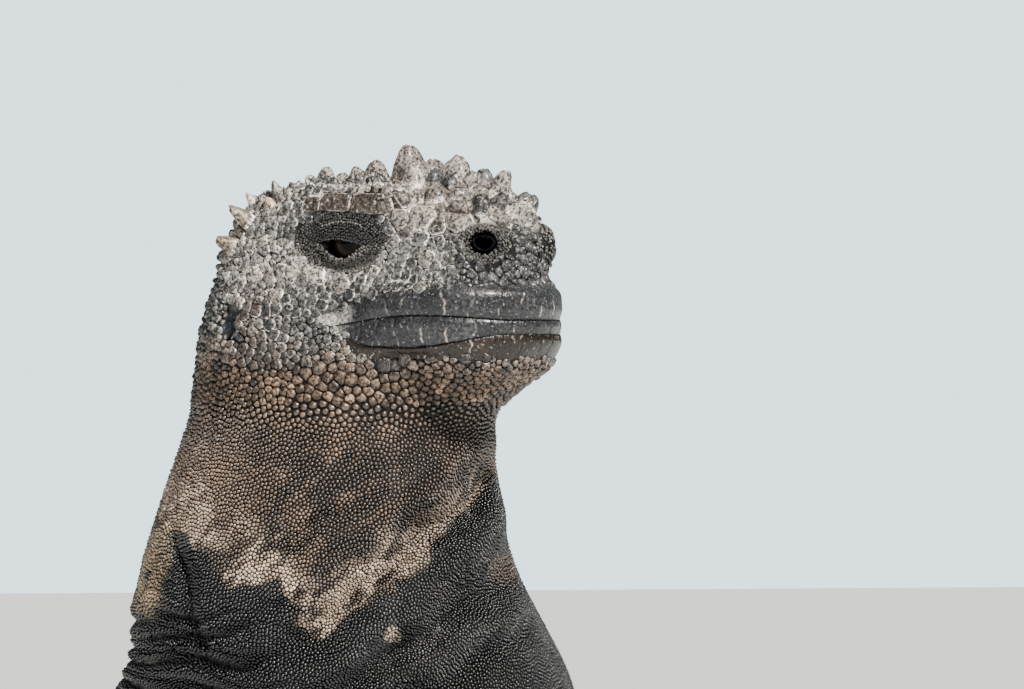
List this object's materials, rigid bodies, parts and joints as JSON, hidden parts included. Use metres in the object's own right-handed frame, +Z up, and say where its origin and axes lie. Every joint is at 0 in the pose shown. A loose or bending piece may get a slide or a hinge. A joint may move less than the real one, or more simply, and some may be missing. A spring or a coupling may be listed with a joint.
{
  "type": "marine iguana model",
  "caption": "Life-size still model of a marine iguana with raised forequarters and head turned to its left, resting on belly, tail and feet.",
  "frame": {"origin": "on the floor under the middle of the whole animal's bounding box", "axes": "+X the way the trunk points, from tail to chest, +Y to the animal's left, +Z up"},
  "size_m": [0.782, 0.2554, 0.22],
  "materials": {
    "hide_dark": "fine beaded scales, satin",
    "hide_tan": "beaded scales in skin folds, matte",
    "scute_grey": "raised horny scutes with pale salt-dusted seams, matte",
    "lip_slate": "smooth lip plates, semi-gloss",
    "eye_brown": "wet gloss",
    "claw_horn": "horn, satin"
  },
  "bodies": {
    "root": {"head": "scute_grey", "jaw": "lip_slate", "eye_left": "eye_brown", "eye_right": "eye_brown", "tail_1": "hide_dark", "tail_2": "hide_dark", "tail_3": "hide_dark", "tail_4": "hide_dark", "torso": "hide_dark", "chest": "hide_dark", "neck": "hide_tan", "leg_front_left": "hide_dark", "foot_front_left": "hide_dark", "claw_front_left_1": "claw_horn", "claw_front_left_2": "claw_horn", "claw_front_left_3": "claw_horn", "claw_front_left_4": "claw_horn", "claw_front_left_5": "claw_horn", "leg_front_right": "hide_dark", "foot_front_right": "hide_dark", "claw_front_right_1": "claw_horn", "claw_front_right_2": "claw_horn", "claw_front_right_3": "claw_horn", "claw_front_right_4": "claw_horn", "claw_front_right_5": "claw_horn", "leg_hind_left": "hide_dark", "foot_hind_left": "hide_dark", "claw_hind_left_1": "claw_horn", "claw_hind_left_2": "claw_horn", "claw_hind_left_3": "claw_horn", "claw_hind_left_4": "claw_horn", "claw_hind_left_5": "claw_horn", "leg_hind_right": "hide_dark", "foot_hind_right": "hide_dark", "claw_hind_right_1": "claw_horn", "claw_hind_right_2": "claw_horn", "claw_hind_right_3": "claw_horn", "claw_hind_right_4": "claw_horn", "claw_hind_right_5": "claw_horn"}
  },
  "joints": []
}
